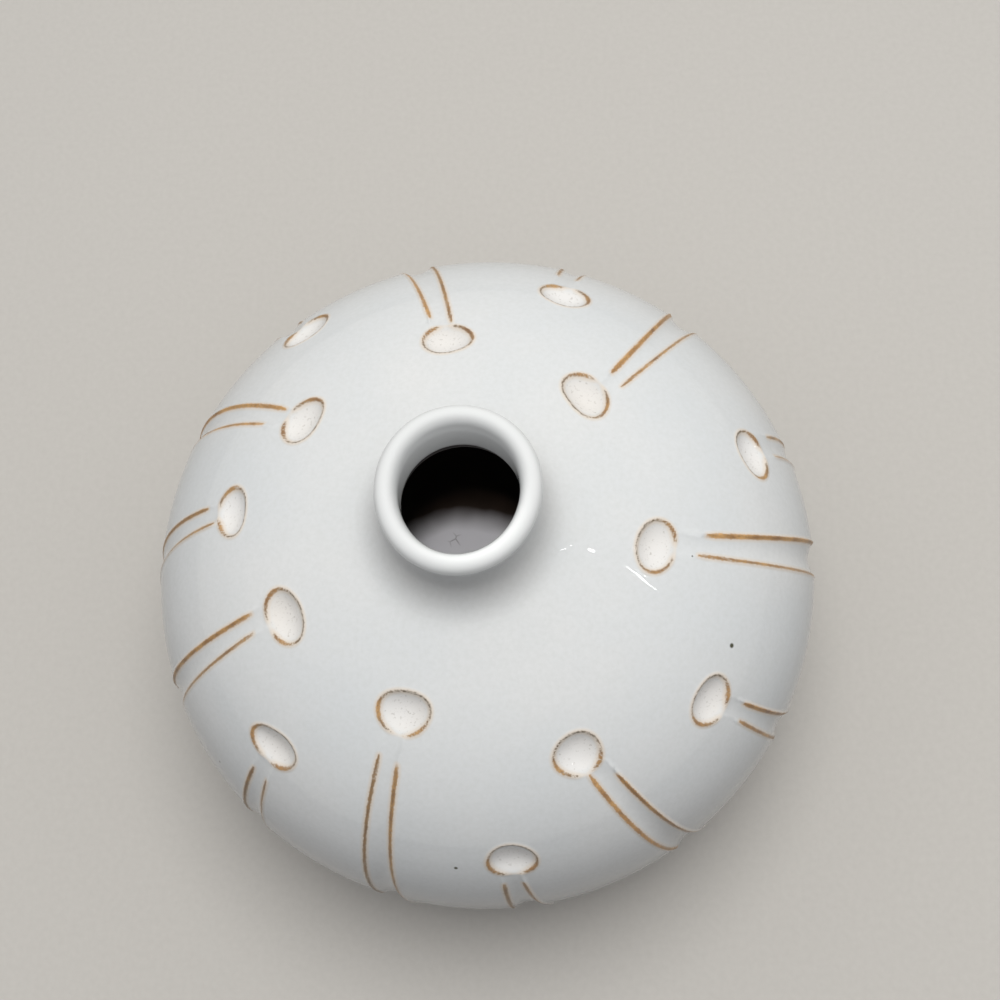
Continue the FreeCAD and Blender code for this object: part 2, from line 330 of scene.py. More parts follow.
def hand_marks(length, bearing):
    """What the hand did at each place: (height in mm over the thrown form, distance in mm to the
    nearest iron line, how orange that line is, how deep in a print the glaze pools)."""
    out = np.interp(length, section_length, section_out)
    cut = np.zeros(length.shape)
    lip = np.zeros(length.shape)
    iron = np.full(length.shape, no_line)
    ember = np.zeros(length.shape)
    pool = np.zeros(length.shape)
    for index, (degrees, share, width, height, lean, left_edge, right_edge) in enumerate(marks):
        print_length = length_at(share * belly_radius, True)
        angle = (bearing - math.radians(degrees) + math.pi) % (2 * math.pi) - math.pi
        across = out * angle
        down = print_length - length
        downhill = np.degrees(np.arctan2(across, down))
        near = (np.abs(angle) < mark_angle) & (np.abs(across) < mark_reach)
        below = near & (down > gouge_start)
        ratio, from_rim = print_oval(across, down, width, height, lean, index)
        print_cut = print_depth * (1 - np.minimum(ratio, 3) ** print_flatness)
        flute_cut, middle, reach, begun = gouged(
            length, out, across, down, print_length, left_edge, right_edge
        )

        # The glaze softens the cut's edge, and most of all the ridge where the gouge starts.
        ridge = smoothly(down, ridge_from, ridge_full) * (1 - begun)
        ridge = ridge * np.exp(-((middle / ridge_reach) ** 2))
        rounding = cut_rounding + ridge_rounding * ridge
        joined = soft_larger(print_cut, flute_cut, floor_meeting)
        joined = soft_larger(joined, 0, rounding) - rounding ** 2 / (4 * np.maximum(-joined, 1))
        cut = np.maximum(cut, np.where(near, joined, 0))

        # Clay is pushed up round the print, less of it downhill, and beside the flute, more of it
        # on the side of the heavier iron line.
        standing = print_lip - downhill_loss * bump_at(downhill, 0, downhill_reach)
        lip = np.maximum(lip, np.where(near, lip_beside(from_rim) * standing, 0))
        left_is_heavier = left_edge[3] >= right_edge[3]
        heavier = np.where((middle > 0) == left_is_heavier, heavy_lip, light_lip)
        running = smoothly(length, flute_end_length + run_out, flute_end_length + lip_run)
        flute_lip = lip_beside(np.abs(middle) - reach) * heavier * begun * running
        lip = np.maximum(lip, np.where(below, flute_lip, 0))

        line, orange = line_round_print(from_rim, downhill)
        line = np.where(near, line, no_line)
        ember = np.where(line < iron, orange, ember)
        iron = np.minimum(iron, line)
        for edge, place in ((left_edge, middle - reach), (right_edge, middle + reach)):
            line, orange = line_along_flute(place, down, length, edge, degrees)
            line = np.where(near & (length > flute_end_length), line, no_line)
            ember = np.where(line < iron, orange, ember)
            iron = np.minimum(iron, line)

        # The glaze pools over the whole floor of a print, and faintly in the flute.
        pool = np.maximum(pool, np.where(near, 1 - smoothly(ratio, pool_rim, 1.0), 0))
        pool = np.maximum(pool, np.where(below, flute_pool * smoothly(flute_cut, 0.05, 0.8), 0))
    return lip * lip_height - cut + wheel_traces(length, bearing, out), iron, ember, pool


# The slope of the marked form is taken over this step to either side, in mm.
touch = 0.04


def place_outside(length, bearing):
    """Points and smooth normals of the marked outside, in metres, with the hand's other traces."""
    height, iron, ember, pool = hand_marks(length, bearing)
    out, up, face_out, face_up = on_section(length)
    higher = hand_marks(length + touch, bearing)[0]
    lower = hand_marks(length - touch, bearing)[0]
    rise_along = (higher - lower) / (2 * touch)
    step = touch / np.maximum(out, 1)
    after = hand_marks(length, bearing + step)[0]
    before = hand_marks(length, bearing - step)[0]
    rise_round = (after - before) / (2 * touch)
    normal_out = face_out + rise_along * face_up
    normal_up = face_up - rise_along * face_out
    size = np.sqrt(normal_out ** 2 + normal_up ** 2 + rise_round ** 2)
    ray = np.stack([np.cos(bearing), np.sin(bearing), np.zeros(len(bearing))], axis=1)
    sideways = np.stack([-np.sin(bearing), np.cos(bearing), np.zeros(len(bearing))], axis=1)
    place = ray * (out + face_out * height)[:, None]
    place[:, 2] = up + face_up * height
    normal = ray * normal_out[:, None] - sideways * rise_round[:, None]
    normal[:, 2] = normal_up
    return place * MM, normal / size[:, None], iron, ember, pool


def build_rings(bm, profile):
    """Rings of vertices turned about the axis, joined by faces, with the profile's sharp corners.
    Gives the layers that hold each vertex's arc length and whether it is on the marked outside."""
    length_layer = bm.verts.layers.float.new("length")
    outside_layer = bm.verts.layers.float.new("outside")
    rings = []
    for out, up, length, _ in profile:
        ring = []
        for column in range(columns if out > touch else 1):
            turn = 2 * math.pi * column / columns
            vert = bm.verts.new((out * MM * math.cos(turn), out * MM * math.sin(turn), up * MM))
            vert[length_layer] = 0.0 if length is None else length
            vert[outside_layer] = 0.0 if length is None else 1.0
            ring.append(vert)
        rings.append(ring)
    for first, second in zip(rings, rings[1:] + rings[:1]):
        for column in range(columns if len(first) + len(second) > 2 else 0):
            after = (column + 1) % columns
            corners = [first[column % len(first)], first[after % len(first)]]
            corners += [second[after % len(second)], second[column % len(second)]]
            bm.faces.new(list(dict.fromkeys(corners)))
    for (_, _, _, sharp), ring in zip(profile, rings):
        if sharp and len(ring) > 1:
            for column in range(columns):
                bm.edges.get((ring[column], ring[(column + 1) % columns])).smooth = False
    return length_layer, outside_layer


# Where the outside's mesh is made finer, once for each row: (edges longer than this in mm, nearer
# than this in mm to an iron line, or deeper than this in a print's pool).
refinements = [(1.1, 2.4, 0.03), (0.55, 1.5, 9.0)]


def refine_marks(bm, length_layer, outside_layer):
    """Cuts the longer edges of the marked outside in two, near the marks."""
    for longest, near_line, in_pool in refinements:
        edges = []
        for edge in bm.edges:
            outside = min(vert[outside_layer] for vert in edge.verts) > 0.99
            if outside and edge.calc_length() > longest * MM:
                edges.append(edge)
        if not edges:
            continue
        ends = [edge.verts for edge in edges]
        middles = np.array([(first.co + second.co) / 2 for first, second in ends])
        lengths = np.array([(first[length_layer] + second[length_layer]) / 2 for first, second in ends])
        _, iron, _, pool = hand_marks(lengths, np.arctan2(middles[:, 1], middles[:, 0]))
        chosen = (np.abs(iron) < near_line) | (pool > in_pool)
        if chosen.any():
            cut_edges = [edge for edge, wanted in zip(edges, chosen) if wanted]
            bmesh.ops.subdivide_edges(bm, edges=cut_edges, cuts=1, use_grid_fill=True)


def cut_marks(mesh, outside, lengths):
    """Moves the outside's vertices onto the marked form, gives it that form's smooth normals, and
    keeps the hand's traces as attributes for the glaze."""
    places = np.empty(len(mesh.vertices) * 3)
    mesh.vertices.foreach_get("co", places)
    places = places.reshape(-1, 3)
    normals = np.zeros(places.shape)
    iron = np.full(len(places), no_line)
    ember = np.zeros(len(places))
    pool = np.zeros(len(places))
    if outside.any():
        bearings = np.arctan2(places[outside, 1], places[outside, 0])
        marked = place_outside(lengths[outside], bearings)
        places[outside], normals[outside], iron[outside], ember[outside], pool[outside] = marked
        mesh.vertices.foreach_set("co", places.ravel())
    for trace, values in (("iron", iron), ("ember", ember), ("pool", pool)):
        attribute = mesh.attributes.new(trace, "FLOAT", "POINT")
        attribute.data.foreach_set("value", values.astype(np.float32))
    if outside.any():
        corner_verts = np.empty(len(mesh.loops), dtype=np.int32)
        mesh.loops.foreach_get("vertex_index", corner_verts)
        totals = np.empty(len(mesh.polygons), dtype=np.int32)
        mesh.polygons.foreach_get("loop_total", totals)
        face_of_corner = np.repeat(np.arange(len(totals)), totals)
        all_outside = np.bincount(face_of_corner, weights=outside[corner_verts]) == totals
        custom = np.where(all_outside[face_of_corner][:, None], normals[corner_verts], 0.0)
        mesh.normals_split_custom_set(custom)
    mesh.update()


def turned_skin(name, profile):
    """A closed skin turned about the axis. The profile lists (out, up, arc length or None, sharp),
    going once round the wall. Where the arc length is given, the hand's marks are cut in."""
    bm = bmesh.new()
    length_layer, outside_layer = build_rings(bm, profile)
    refine_marks(bm, length_layer, outside_layer)
    bmesh.ops.triangulate(bm, faces=[face for face in bm.faces if len(face.verts) > 4])
    bmesh.ops.recalc_face_normals(bm, faces=bm.faces)
    outside = np.array([vert[outside_layer] > 0.99 for vert in bm.verts])
    lengths = np.array([vert[length_layer] for vert in bm.verts])
    for face in bm.faces:
        face.smooth = True
    mesh = bpy.data.meshes.new(name)
    bm.to_mesh(mesh)
    bm.free()
    cut_marks(mesh, outside, lengths)
    piece = bpy.data.objects.new(name, mesh)
    bpy.context.scene.collection.objects.link(piece)
    return piece


def stretch(first, last, spacing):
    """Points of the marked outside between two arc lengths, about the spacing apart."""
    count = max(2, round(abs(last - first) / spacing))
    points = []
    for length in np.linspace(first, last, count + 1):
        out, up, _, _ = on_section(length)
        points.append([float(out), float(up), float(length), False])
    points[0][3] = True
    points[-1][3] = True
    return points


inside_radius = belly_radius - wall


def inner_wall(first_out, last_out, upper, count):
    """Points of the smooth inside, from one distance out to another, on the dome or the bowl."""
    rise = (dome_rise - wall) if upper else -(bowl_drop - wall - floor_extra)
    points = []
    for step in range(count + 1):
        turn = math.acos(min(1, first_out / inside_radius)) * (1 - step / count)
        turn += math.acos(min(1, last_out / inside_radius)) * step / count
        out = max(0.0, inside_radius * math.cos(turn))
        up = belly_height + rise * (1 - min(1, out / inside_radius) ** fullness) ** (1 / fullness)
        points.append([out, up, None, step in (0, count)])
    return points


# The inside starts a hair in from its widest, at the joint, and takes this many rings each way.
inside_start = inside_radius - 0.05
inside_rings = 26
crown_length = length_at(flange_radius, True)
crown_opening = 17.4
rebate_level = belly_height + lap_height + lap_gap
spigot_height = 2.4
collar_seat = collar_low.z / MM + spigot_height
dome_profile = stretch(crown_length, 0.0, ring_spacing)
dome_profile += [
    [tongue_radius + lap_gap, belly_height, None, True],
    [tongue_radius + lap_gap, rebate_level, None, True],
]
dome_profile += inner_wall(inside_start, crown_opening, True, inside_rings)
dome_profile += [
    [crown_opening, collar_seat, None, True],
    [flange_radius, collar_seat, None, True],
]
upper_dome = turned_skin("dome", dome_profile)


def linear(code):
    """An sRGB hex colour as the linear colour that a shader socket takes."""
    channels = []
    for place in (0, 2, 4):
        value = int(code[place:place + 2], 16) / 255
        channels.append(value / 12.92 if value <= 0.04045 else ((value + 0.055) / 1.055) ** 2.4)
    return (*channels, 1.0)


def add(tree, kind, inputs=None, **settings):
    """Adds a node with its settings. Each input is a value, or another node's output to link, and
    goes by its socket's name or number. In a Map Range 0 is the value, 1 and 2 are the range that
    it comes in and 3 and 4 the one that it goes to. In a colour Mix 0 is the share of colour 7,
    and the rest is colour 6."""
    node = tree.nodes.new(kind)
    for setting, value in settings.items():
        setattr(node, setting, value)
    for socket, value in (inputs or {}).items():
        if isinstance(value, bpy.types.NodeSocket):
            tree.links.new(value, node.inputs[socket])
        else:
            node.inputs[socket].default_value = value
    return node


def empty_material(name):
    """A material without nodes yet, and the tree that takes them."""
    material = bpy.data.materials.new(name)
    material.use_nodes = True
    material.node_tree.nodes.clear()
    return material, material.node_tree


# Celadon-white stoneware glaze, dipped and fired glossy. It gives the eye a soft, slightly blue
# white that wanders a little in tone, with a fine orange peel that breaks up its reflections,
# cream where it pools in the prints and grainy toasted lines where it runs thin on cut edges.
celadon_white, tree = empty_material("celadon_white_glaze")
where = add(tree, "ShaderNodeNewGeometry").outputs["Position"]
iron_distance = add(tree, "ShaderNodeAttribute", attribute_name="iron").outputs["Fac"]
ember_share = add(tree, "ShaderNodeAttribute", attribute_name="ember").outputs["Fac"]
pool_share = add(tree, "ShaderNodeAttribute", attribute_name="pool").outputs["Fac"]

# The body's tone: slow clouds, and a fine grey mottle over them.
mottle_size = 0.9
mottle = add(tree, "ShaderNodeTexNoise", {"Vector": where, "Scale": 1 / (mottle_size * MM), "Detail": 4.0})
mottled = add(tree, "ShaderNodeMapRange", {0: mottle.outputs["Fac"], 1: 0.35, 2: 0.75, 3: 0.0, 4: 0.22})
cloud_size = 26.0
cloud = add(tree, "ShaderNodeTexNoise", {"Vector": where, "Scale": 1 / (cloud_size * MM), "Detail": 3.0})
clouded_tone = add(
    tree, "ShaderNodeMix",
    {0: cloud.outputs["Fac"], 6: linear("CFD3D4"), 7: linear("DDDCD9")}, data_type="RGBA",
)
body_tone = add(
    tree, "ShaderNodeMix",
    {0: mottled.outputs[0], 6: clouded_tone.outputs[2], 7: linear("BFC1BC")}, data_type="RGBA",
)

# On the neck the glaze is darker and warmer in the sweep, between these heights in mm over the dome:
# painted shade for the concave foot of the neck.
# It turns paler towards the bead, between the other two: painted light on the raised rim.
sweep_from = -0.5
sweep_to = 8
pale_from = 4
pale_to = 11
up_now = add(tree, "ShaderNodeSeparateXYZ", {0: where}).outputs["Z"]
bead_light_share = add(
    tree, "ShaderNodeMapRange",
    {0: up_now, 1: dome_high.z + pale_from * MM, 2: dome_high.z + pale_to * MM, 3: 0.0, 4: 1.0},
    interpolation_type="SMOOTHSTEP",
)
sweep_height = add(
    tree, "ShaderNodeMapRange",
    {0: up_now, 1: dome_high.z + sweep_from * MM, 2: dome_high.z + sweep_to * MM, 3: -1.0, 4: 1.0},
)
sweep_share = add(tree, "ShaderNodeMath", {0: sweep_height.outputs[0], 1: 2.0}, operation="POWER")
# Painted shade, strongest through the middle of the sweep's heights.
sweep_shade_share = add(tree, "ShaderNodeMapRange", {0: sweep_share.outputs[0], 1: 1.0, 2: 0.2, 3: 0.0, 4: 0.14})
painted_sweep_shade = add(
    tree, "ShaderNodeMix",
    {0: sweep_shade_share.outputs[0], 6: body_tone.outputs[2], 7: linear("A39A90")}, data_type="RGBA",
)
# Painted light: the bead is paler than the body, as where it is lit more.
neck_shade_and_light = add(
    tree, "ShaderNodeMix",
    {0: bead_light_share.outputs[0], 6: painted_sweep_shade.outputs[2], 7: linear("DEDFDD")}, data_type="RGBA",
)

# In the prints it is cream with fine darker flecks.
fleck_size = 0.5
fleck_noise = add(
    tree, "ShaderNodeTexNoise", {"Vector": where, "Scale": 1 / (fleck_size * MM), "Detail": 2.0},
)
fleck = add(
    tree, "ShaderNodeMapRange",
    {0: fleck_noise.outputs["Fac"], 1: 0.6, 2: 0.74, 3: 0.0, 4: 0.45},
)
cream_tone = add(
    tree, "ShaderNodeMix",
    {0: cloud.outputs["Fac"], 6: linear("E6E7E7"), 7: linear("DBD5CC")}, data_type="RGBA",
)
pooled_tone = add(
    tree, "ShaderNodeMix",
    {0: fleck.outputs[0], 6: cream_tone.outputs[2], 7: linear("989084")}, data_type="RGBA",
)
glaze_tone = add(
    tree, "ShaderNodeMix",
    {0: pool_share, 6: neck_shade_and_light.outputs[2], 7: pooled_tone.outputs[2]}, data_type="RGBA",
)

# It warms towards an iron line, from this many mm away. The line itself has a ragged edge, a core
# burnt darker, and tones from brown on the crown's side of a print to patchy orange.
halo_reach = 0.9
halo = add(
    tree, "ShaderNodeMapRange",
    {0: iron_distance, 1: halo_reach, 2: 0.0, 3: 0.0, 4: 0.42}, interpolation_type="SMOOTHSTEP",
)
haloed = add(
    tree, "ShaderNodeMix",
    {0: halo.outputs[0], 6: glaze_tone.outputs[2], 7: linear("DDBF98")}, data_type="RGBA",
)
grain_size = 0.5
grain = add(
    tree, "ShaderNodeTexNoise",
    {"Vector": where, "Scale": 1 / (grain_size * MM), "Detail": 5.0, "Roughness": 0.7},
)
ragged = add(
    tree, "ShaderNodeMath",
    {0: grain.outputs["Fac"], 1: 0.8, 2: iron_distance}, operation="MULTIPLY_ADD",
)
iron_line = add(
    tree, "ShaderNodeMapRange", {0: ragged.outputs[0], 1: 0.62, 2: 0.3, 3: 0.0, 4: 0.92},
    interpolation_type="SMOOTHSTEP",
)
patch_size = 3.2
patchy = add(tree, "ShaderNodeTexNoise", {"Vector": where, "Scale": 1 / (patch_size * MM), "Detail": 3.0})
patches_apart = add(
    tree, "ShaderNodeMapRange", {0: patchy.outputs["Fac"], 1: 0.24, 2: 0.76, 3: 0.0, 4: 1.0},
)
ember_tone = add(
    tree, "ShaderNodeMix",
    {0: patches_apart.outputs[0], 6: linear("865826"), 7: linear("D8A765")}, data_type="RGBA",
)
line_tone = add(
    tree, "ShaderNodeMix",
    {0: ember_share, 6: linear("4E4636"), 7: ember_tone.outputs[2]}, data_type="RGBA",
)
core = add(
    tree, "ShaderNodeMath",
    {0: iron_distance, 1: -0.15, 2: grain.outputs["Fac"]}, operation="MULTIPLY_ADD",
)
burnt_most = add(tree, "ShaderNodeMapRange", {0: ember_share, 1: 0.5, 2: 1.0, 3: 0.8, 4: 0.4})
burnt = add(
    tree, "ShaderNodeMapRange",
    {0: core.outputs[0], 1: 0.46, 2: 0.64, 3: 0.0, 4: burnt_most.outputs[0]},
)
burnt_tone = add(
    tree, "ShaderNodeMix",
    {0: burnt.outputs[0], 6: line_tone.outputs[2], 7: linear("664826")}, data_type="RGBA",
)
lined = add(
    tree, "ShaderNodeMix",
    {0: iron_line.outputs[0], 6: haloed.outputs[2], 7: burnt_tone.outputs[2]}, data_type="RGBA",
)

# Five iron specks that burnt through: bearing in degrees, share of the belly's radius, mm across.
# Each fades out between the two shares of its size that are named below them.
specks = [
    (334.8, 0.778, 1.1),
    (266.8, 0.903, 0.9),
    (350.0, 0.611, 0.35),
    (151.8, 0.696, 0.5),
    (219.0, 0.951, 0.5),
]
speck_core = 0.3
speck_edge = 0.55
glaze_colour = lined
for degrees, share, size in specks:
    out, up, _, _ = on_section(length_at(share * belly_radius, True))
    turn = math.radians(degrees)
    centre = (out * MM * math.cos(turn), out * MM * math.sin(turn), up * MM)
    away = add(tree, "ShaderNodeVectorMath", {0: where, 1: centre}, operation="DISTANCE")
    dot = add(
        tree, "ShaderNodeMapRange",
        {0: away.outputs["Value"], 1: speck_edge * size * MM, 2: speck_core * size * MM, 3: 0.0, 4: 0.97},
    )
    glaze_colour = add(
        tree, "ShaderNodeMix",
        {0: dot.outputs[0], 6: glaze_colour.outputs[2], 7: linear("3B3B22")}, data_type="RGBA",
    )

# The glaze is glossy with a faint orange peel, and the iron lines are drier and gritty.
gloss = add(tree, "ShaderNodeMapRange", {0: iron_line.outputs[0], 1: 0.0, 2: 1.0, 3: 0.025, 4: 0.4})
peel_size = 3.0
peel = add(tree, "ShaderNodeTexNoise", {"Vector": where, "Scale": 1 / (peel_size * MM), "Detail": 1.0})
peel_bump = add(
    tree, "ShaderNodeBump", {"Height": peel.outputs["Fac"], "Strength": 0.03, "Distance": 0.15 * MM},
)
grit = add(
    tree, "ShaderNodeMath", {0: grain.outputs["Fac"], 1: iron_line.outputs[0]}, operation="MULTIPLY",
)
grit_bump = add(
    tree, "ShaderNodeBump",
    {"Height": grit.outputs[0], "Strength": 0.25, "Distance": 0.05 * MM, "Normal": peel_bump.outputs[0]},
)
glaze_shader = add(
    tree, "ShaderNodeBsdfPrincipled",
    {
        "Base Color": glaze_colour.outputs[2], "Roughness": gloss.outputs[0], "IOR": 1.5,
        "Normal": grit_bump.outputs[0],
    },
)
add(tree, "ShaderNodeOutputMaterial", {"Surface": glaze_shader.outputs[0]})
upper_dome.data.materials.append(celadon_white)

# The inside wall: a near-black brown, painted shade for the hollow. It gives the eye a nearly black hollow
# behind the bright throat.
painted_dark_inside, tree = empty_material("painted_shade_inside")
where = add(tree, "ShaderNodeNewGeometry").outputs["Position"]
inside_mottle_size = 6.0
inside_mottle = add(tree, "ShaderNodeTexNoise", {"Vector": where, "Scale": 1 / (inside_mottle_size * MM), "Detail": 4.0})
inside_shade_tone = add(
    tree, "ShaderNodeMix",
    {0: inside_mottle.outputs["Fac"], 6: linear("1E1815"), 7: linear("3A2E27")}, data_type="RGBA",
)
inside_bump = add(
    tree, "ShaderNodeBump", {"Height": inside_mottle.outputs["Fac"], "Strength": 0.3, "Distance": 0.3 * MM},
)
inside_shader = add(
    tree, "ShaderNodeBsdfPrincipled",
    {"Base Color": inside_shade_tone.outputs[2], "Roughness": 0.55, "Normal": inside_bump.outputs[0]},
)
add(tree, "ShaderNodeOutputMaterial", {"Surface": inside_shader.outputs[0]})
# The dome's inside takes this painted shade.
upper_dome.data.materials.append(painted_dark_inside)


def finish_inside(piece, is_inside):
    """Gives the piece's faces that pass the test, by their middle in mm, its second material."""
    mesh = piece.data
    centres = np.empty(len(mesh.polygons) * 3)
    mesh.polygons.foreach_get("center", centres)
    centres = centres.reshape(-1, 3) / MM
    chosen = is_inside(np.hypot(centres[:, 0], centres[:, 1]), centres[:, 2])
    mesh.polygons.foreach_set("material_index", chosen.astype(np.int32))


def in_the_hollow(out, up):
    """True nearer the middle of the vase than half-way through the body's wall."""
    wide = belly_radius - wall / 2
    tall = np.where(up > belly_height, dome_rise, bowl_drop) - wall / 2
    return (out / wide) ** fullness + (np.abs(up - belly_height) / tall) ** fullness < 1


finish_inside(upper_dome, in_the_hollow)
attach(upper_dome, "root")
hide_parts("upper_dome")


# The lower bowl: the thrown half with the floor. Its rim carries the tongue that the dome sits
# on, the flutes run out low on its side, and a seat for the foot ring is turned under it.
foot_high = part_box("foot_ring")[1]
foot_joint_radius = foot_high.x / MM
foot_seat = foot_high.z / MM
foot_inside = 27.5
tuck_length = length_at(foot_joint_radius + lap_gap, False)


def underside(out):
    """The height of the floor's underside, this far out from the axis."""
    return belly_height - bowl_drop * (1 - (out / belly_radius) ** fullness) ** (1 / fullness)


bowl_profile = stretch(0.0, tuck_length, ring_spacing)
bowl_profile += [
    [foot_joint_radius + lap_gap, foot_seat, None, True],
    [foot_inside - lap_gap, foot_seat, None, True],
]
for share in (1.0, 0.85, 0.7, 0.55, 0.4, 0.25, 0.1, 0.0):
    out = (foot_inside - lap_gap) * share
    bowl_profile.append([out, underside(out), None, share == 1.0])
bowl_profile += list(reversed(inner_wall(inside_start, 0.0, False, inside_rings)))
bowl_profile += [
    [inside_start, belly_height + lap_height, None, True],
    [tongue_radius, belly_height + lap_height, None, True],
    [tongue_radius, belly_height, None, True],
]
lower_bowl = turned_skin("bowl", bowl_profile)
lower_bowl.data.materials.append(celadon_white)

# The inside's floor: pale glaze that was poured in and drained, pooled in the middle of the inside's
# near-black tone, which is painted shade, with one small star of crackle. It gives the eye the lit greyish
# patch that shows down the throat.
poured_floor = painted_dark_inside.copy()
poured_floor.name = "poured_glaze_floor"
tree = poured_floor.node_tree
shader = next(node for node in tree.nodes if node.type == "BSDF_PRINCIPLED")
painted_floor_shade = shader.inputs["Base Color"].links[0].from_socket
where = add(tree, "ShaderNodeNewGeometry").outputs["Position"]
pool_middle = (-7.6 * MM, -5.0 * MM, 11.0 * MM)
pool_radius = 29.0

# Its edge fades over this many mm to either side, and wanders inwards by up to as many again.
pool_fade = 3
pool_wander = 3
from_pool = add(tree, "ShaderNodeVectorMath", {0: where, 1: pool_middle}, operation="DISTANCE")
edge_size = 9.0
pool_edge = add(tree, "ShaderNodeTexNoise", {"Vector": where, "Scale": 1 / (edge_size * MM), "Detail": 2.0})
ragged_edge = add(
    tree, "ShaderNodeMath",
    {0: pool_edge.outputs["Fac"], 1: pool_wander * MM, 2: from_pool.outputs["Value"]},
    operation="MULTIPLY_ADD",
)
pool_out = (pool_radius + pool_fade) * MM
pool_in = (pool_radius - pool_fade) * MM
in_pool = add(
    tree, "ShaderNodeMapRange",
    {0: ragged_edge.outputs[0], 1: pool_out, 2: pool_in, 3: 0.0, 4: 1.0},
)
# Round the pool the floor keeps the inside's painted shade.
pool_tone = add(
    tree, "ShaderNodeMix",
    {0: in_pool.outputs[0], 6: painted_floor_shade, 7: linear("C5C3C6")}, data_type="RGBA",
)

# The star's cracks are darkest within its core and gone at its edge.
star_middle = (-10.4 * MM, 17.2 * MM, 11.2 * MM)
star_core = 1.0
star_edge = 2.2
crack_size = 2.2
crackle = add(
    tree, "ShaderNodeTexVoronoi", {"Vector": where, "Scale": 1 / (crack_size * MM)},
    feature="DISTANCE_TO_EDGE",
)
on_crack = add(
    tree, "ShaderNodeMapRange", {0: crackle.outputs["Distance"], 1: 0.1, 2: 0.02, 3: 0.0, 4: 1.0},
)
from_star = add(tree, "ShaderNodeVectorMath", {0: where, 1: star_middle}, operation="DISTANCE")
in_star = add(
    tree, "ShaderNodeMapRange",
    {0: from_star.outputs["Value"], 1: star_edge * MM, 2: star_core * MM, 3: 0.0, 4: 0.5},
)
cracked = add(tree, "ShaderNodeMath", {0: on_crack.outputs[0], 1: in_star.outputs[0]}, operation="MULTIPLY")
star_tone = add(
    tree, "ShaderNodeMix",
    {0: cracked.outputs[0], 6: pool_tone.outputs[2], 7: linear("4A4440")}, data_type="RGBA",
)
tree.links.new(star_tone.outputs[2], shader.inputs["Base Color"])
lower_bowl.data.materials.append(poured_floor)
finish_inside(lower_bowl, in_the_hollow)
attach(lower_bowl, "root")
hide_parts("lower_bowl")


# The neck collar: thrown apart and luted into the crown. Its rim is rolled into a round bead over
# a short throat, and its flange sweeps out and runs into the dome under the same glaze.
collar_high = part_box("neck_collar")[1]
bore_radius = 11.0
neck_wall = 2.3
bead_radius = 2.1
bead_blend = 1.5
bead_fall = 3.8
bead_ease = 0.1
spigot_radius = 17.2
spigot_bore = 15.5
spigot_level = collar_low.z / MM

# The sweep is an arc that starts straight up at the waist and meets the dome's own slope at the
# flange. The bead is an arc too, and a small one blends it into the waist.
_, flange_level, flange_facing, flange_facing_up = (float(value) for value in on_section(crown_length))
waist = bore_radius + neck_wall
sweep = (flange_radius - waist) / (1 - flange_facing)
sweep_out = waist + sweep
sweep_up = flange_level + sweep * flange_facing_up
bead_out = bore_radius + bead_radius
bead_up = collar_high.z / MM - bead_radius - bead_ease
blend_out = waist + bead_blend - bead_out
blend_drop = math.sqrt((bead_radius + bead_blend) ** 2 - blend_out ** 2)
blend_angle = math.degrees(math.atan2(blend_drop, blend_out))
inner_sweep = sweep + neck_wall
inner_end = 180 + math.degrees(math.acos((sweep_out - spigot_bore) / inner_sweep))


def arc_points(out, up, radius, first, last, step):
    """Points round an arc of the section, between two directions in degrees up from straight out
    and about the step in degrees apart."""
    count = max(2, round(abs(last - first) / step))
    points = []
    for turn in np.radians(np.linspace(first, last, count + 1)):
        points.append([out + radius * math.cos(turn), up + radius * math.sin(turn), None, False])
    return points


# The sweep has finer steps in its last few degrees, where it runs out onto the dome.
sweep_end = 270 - math.degrees(math.asin(flange_facing))
fine_from = sweep_end - 3
collar_profile = arc_points(sweep_out, sweep_up, sweep, sweep_end, fine_from, 0.75)[:-1]
collar_profile[0][3] = True
collar_profile += arc_points(sweep_out, sweep_up, sweep, fine_from, 180, 4)
collar_profile += arc_points(
    bead_out + blend_out, bead_up - blend_drop, bead_blend, 180, 180 - blend_angle, 10
)
collar_profile += arc_points(bead_out, bead_up, bead_radius, -blend_angle, 90, 8)[1:]

# Over its inner half the bead falls further than its own radius, and so eases into the throat.
for turn in np.radians(np.arange(97.5, 181, 7.5)):
    out = bead_out + bead_radius * math.cos(turn)
    up = bead_up + bead_radius - bead_fall * (1 - math.sin(turn))
    collar_profile.append([out, up, None, False])
collar_profile += arc_points(sweep_out, sweep_up, inner_sweep, 180, inner_end, 4)
collar_profile[-1][3] = True
collar_profile += [
    [spigot_bore, spigot_level, None, True],
    [spigot_radius, spigot_level, None, True],
    [spigot_radius, collar_seat, None, True],
    [flange_radius, collar_seat, None, True],
]
neck_collar = turned_skin("collar", collar_profile)

# The potter's fingers leave the neck a little out of round, longer from front to back, and it
# leans a hair to the back, with a slighter wave in and out and one up and down, each set back by
# its ease to stay in the solids' box. All this sets in over the first few mm above the sweep.
neck_oval = 0.75
neck_lean = 0.55
neck_wave = 0.05
wave_ease = 0.1
rim_lift = 0.08
lift_ease = 0.05
sets_in_over = 5
for vert in neck_collar.data.vertices:
    turn = math.atan2(vert.co.y, vert.co.x)
    raised = min(1.0, max(0.0, (vert.co.z / MM - sweep_up) / sets_in_over))
    wander = neck_wave * math.sin(3 * turn + 0.4) - wave_ease + neck_oval * math.sin(turn) ** 2
    lift = rim_lift * math.sin(2 * turn + 2.4) - lift_ease
    out = math.hypot(vert.co.x, vert.co.y) / MM
    grow = 1 + raised * wander / out
    back_shift = raised * neck_lean * MM
    vert.co = (vert.co.x * grow, vert.co.y * grow + back_shift, vert.co.z + raised * lift * MM)
neck_collar.data.materials.append(celadon_white)
neck_collar.data.materials.append(painted_dark_inside)


